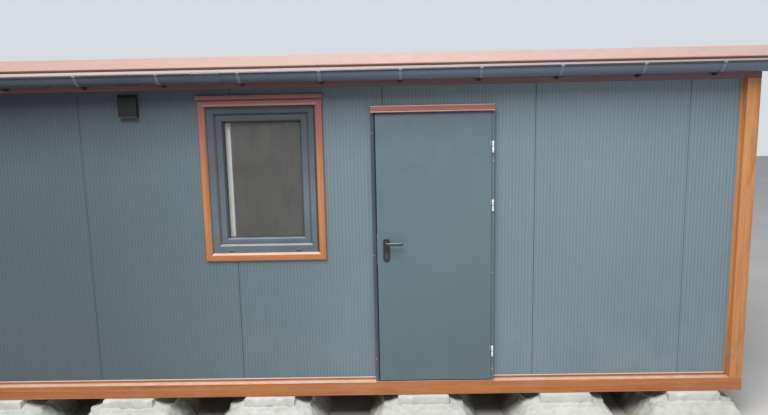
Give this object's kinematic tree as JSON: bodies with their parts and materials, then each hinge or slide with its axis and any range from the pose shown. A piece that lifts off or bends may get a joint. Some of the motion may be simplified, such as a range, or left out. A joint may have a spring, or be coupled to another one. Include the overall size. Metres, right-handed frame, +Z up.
{
  "type": "container house",
  "caption": "Single-room cabin of insulated sandwich panels on concrete footings, with a lean-to roof falling to a front gutter, a window and an outward opening door.",
  "frame": {"origin": "on the ground at the centre of the footprint", "axes": "+X to the right along the front wall, +Y from the front wall to the back wall, +Z up"},
  "size_m": [6.75, 2.96, 3.1394],
  "materials": {
    "concrete": "rough cast",
    "frame_steel": "primer",
    "floor_board": "plain",
    "oak_foil_sheet": "wood-grain coated",
    "wall_panel": "matt coated",
    "eave_sheet": "matt coated",
    "roof_panel": "matt coated",
    "gutter_plastic": "satin",
    "window_plastic": "satin",
    "window_glass": "clear",
    "white_lining": "satin",
    "door_steel": "satin coated",
    "hinge_steel": "zinc plated",
    "handle_plastic": "satin",
    "vent_plastic": "matt"
  },
  "bodies": {
    "house": {"footing_pads": "concrete", "footing_blocks": "concrete", "base_beams": "frame_steel", "floor_joists": "frame_steel", "floor_deck": "floor_board", "base_covers_long": "oak_foil_sheet", "base_covers_end": "oak_foil_sheet", "corner_posts": "frame_steel", "corner_covers": "oak_foil_sheet", "front_panel_1": "wall_panel", "front_panel_2": "wall_panel", "front_panel_3": "wall_panel", "front_panel_over_door": "wall_panel", "front_panel_4": "wall_panel", "front_panels_right": "wall_panel", "back_wall_panels": "wall_panel", "left_wall_panels": "wall_panel", "right_wall_panels": "wall_panel", "eave_beams": "frame_steel", "fascias": "eave_sheet", "roof_panels": "roof_panel", "roof_edge_front": "roof_panel", "eave_apron": "roof_panel", "verge_trims": "roof_panel", "roof_edge_back": "roof_panel", "gutter": "gutter_plastic", "gutter_end_caps": "gutter_plastic", "gutter_fittings": "gutter_plastic", "gutter_brackets": "gutter_plastic", "downpipe": "gutter_plastic", "downpipe_clips": "gutter_plastic", "window_frame": "window_plastic", "window_sash": "window_plastic", "window_glass": "window_glass", "window_lining": "white_lining", "window_trim": "oak_foil_sheet", "vent_hood": "vent_plastic", "door_frame": "door_steel", "door_sill": "door_steel", "door_lintel_trim": "oak_foil_sheet", "door_hinge_pins": "hinge_steel"},
    "door": {"door_leaf": "door_steel", "door_hinge_knuckles": "hinge_steel", "handle_plates": "handle_plastic"},
    "handle": {"door_lever": "handle_plastic"}
  },
  "joints": [
    {"name": "door_swing", "type": "hinge", "parent": "house", "child": "door", "pos_m": [1.188, -1.273, 0.384], "axis": [0, 0, 1], "range_deg": [0, 165]},
    {"name": "lever_turn", "type": "hinge", "parent": "door", "child": "handle", "pos_m": [0.375, -1.2425, 1.49], "axis": [0, 1, 0], "range_deg": [0, 40], "stiffness_Nm_per_rad": 2, "springref_deg": -20.05}
  ]
}
